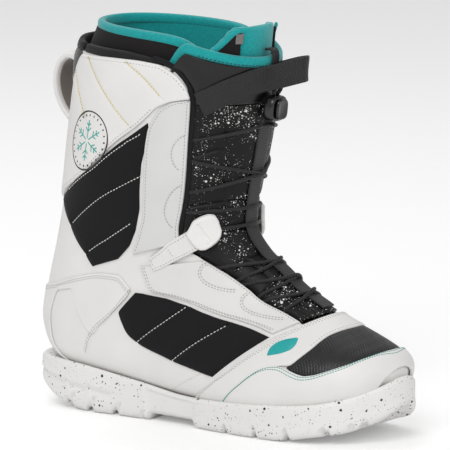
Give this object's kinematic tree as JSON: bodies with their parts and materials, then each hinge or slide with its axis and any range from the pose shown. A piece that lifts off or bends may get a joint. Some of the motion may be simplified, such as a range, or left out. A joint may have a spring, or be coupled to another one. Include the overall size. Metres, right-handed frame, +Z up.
{
  "type": "snowboard boot",
  "caption": "Right snowboard boot: white leather and black quilted upper on a speckled cupsole, removable liner, hinged tongue, quick-pull lace with lock and handle.",
  "frame": {"origin": "centre of the boot's outline on the ground, below the middle of the bounding box", "axes": "+Z up, -Y towards the toe, -X towards the outer (lateral) side of this right boot, so +X is towards the other foot"},
  "size_m": [0.1156, 0.3164, 0.2932],
  "materials": {
    "white_leather": "white coated synthetic leather, satin",
    "grey_leather": "pale grey coated synthetic leather, satin",
    "black_textile": "black coated textile, quilted over thin foam",
    "ripstop_textile": "black ripstop textile",
    "black_binding": "black edge binding",
    "black_webbing": "black woven webbing",
    "white_webbing": "white woven webbing",
    "speckled_rubber": "white moulded rubber with dark speckles",
    "white_rubber": "white moulded rubber, matt",
    "teal_rubber": "turquoise moulded rubber",
    "teal_binding": "turquoise knitted binding",
    "teal_lining": "turquoise brushed lining",
    "dark_stretch": "dark grey stretch textile over foam",
    "liner_textile": "black twill over heat-mouldable foam",
    "tongue_textile": "black coated textile with pale specks, glossy at the top",
    "hook_and_loop": "grey hook-and-loop",
    "footbed_foam": "foam footbed with textile cover",
    "fibreboard": "pressed fibre lasting board",
    "lace_cord": "braided black lace",
    "elastic_cord": "black elastic cord",
    "black_print": "thin moulded print",
    "black_plastic": "black moulded nylon"
  },
  "bodies": {
    "root": {"cuff_panel_lateral": "white_leather", "facing_shaft_lateral": "grey_leather", "quilt_upper_lateral": "black_textile", "quilt_lower_lateral": "black_textile", "facing_foot_lateral": "white_leather", "cuff_binding_lateral": "black_binding", "ankle_strap_lateral": "white_webbing", "saddle_insert_lateral": "teal_rubber", "emblem_patch_lateral": "black_print", "collar_rim_lateral": "dark_stretch", "cuff_panel_medial": "white_leather", "facing_shaft_medial": "grey_leather", "quilt_upper_medial": "black_textile", "quilt_lower_medial": "black_textile", "facing_foot_medial": "white_leather", "cuff_binding_medial": "black_binding", "ankle_strap_medial": "white_webbing", "saddle_insert_medial": "teal_rubber", "emblem_patch_medial": "black_print", "collar_rim_medial": "dark_stretch", "outsole": "speckled_rubber", "shell": "white_leather", "lasting_board": "fibreboard", "footbed": "footbed_foam", "heel_counter": "white_leather", "backstay": "white_leather", "rear_collar_pad": "dark_stretch", "toe_saddle": "white_leather", "toe_box": "ripstop_textile", "toe_cap": "white_leather", "liner_leg": "liner_textile", "liner_foot": "liner_textile", "liner_piping": "teal_binding", "tongue_instep": "tongue_textile", "tongue_strip_instep": "black_webbing", "heel_pull_loop": "white_leather", "lace_instep_a": "lace_cord", "lace_instep_b": "lace_cord", "lace_ankle_upper": "lace_cord", "lace_ankle_lower": "lace_cord"},
    "tongue": {"tongue_shaft": "tongue_textile", "tongue_rim": "teal_binding", "tongue_strip_shaft": "black_webbing", "lace_shaft_a": "lace_cord", "lace_shaft_b": "lace_cord", "lace_lock": "black_plastic", "handle_keeper_1": "elastic_cord", "handle_keeper_2": "elastic_cord"},
    "liner_tongue": {"liner_tongue": "teal_lining", "liner_tongue_patch": "hook_and_loop"},
    "lock_lever": {"lock_lever": "black_plastic"},
    "handle": {"pull_handle": "black_webbing", "lace_tail_left": "lace_cord", "lace_tail_right": "lace_cord"},
    "paddle_lateral": {"strap_paddle_lateral": "white_rubber"},
    "paddle_medial": {"strap_paddle_medial": "white_rubber"}
  },
  "joints": [
    {"name": "tongue_swing", "type": "hinge", "parent": "root", "child": "tongue", "pos_m": [0, -0.0223, 0.163], "axis": [1, 0, 0], "range_deg": [0, 20]},
    {"name": "liner_tongue_swing", "type": "hinge", "parent": "root", "child": "liner_tongue", "pos_m": [0, -0.0153, 0.162], "axis": [1, 0, 0], "range_deg": [0, 15]},
    {"name": "handle_pull", "type": "slide", "parent": "tongue", "child": "handle", "axis": [0.5486, -0.798, 0.2494], "range_m": [0, 0.04]},
    {"name": "lock_lever_lift", "type": "hinge", "parent": "tongue", "child": "lock_lever", "pos_m": [0.0013, -0.0466, 0.2245], "axis": [1, 0, 0], "range_deg": [0, 35]},
    {"name": "paddle_lateral_lift", "type": "hinge", "parent": "root", "child": "paddle_lateral", "pos_m": [-0.0374, 0.0053, 0.1351], "axis": [0.2829, -0.4847, -0.8277], "range_deg": [0, 20]},
    {"name": "paddle_medial_lift", "type": "hinge", "parent": "root", "child": "paddle_medial", "pos_m": [0.0374, 0.0053, 0.1351], "axis": [0.2796, 0.4849, 0.8287], "range_deg": [0, 20]}
  ],
  "couplings": [
    {"joint": "liner_tongue_swing", "follows": "tongue_swing", "ratio": 0.75}
  ]
}
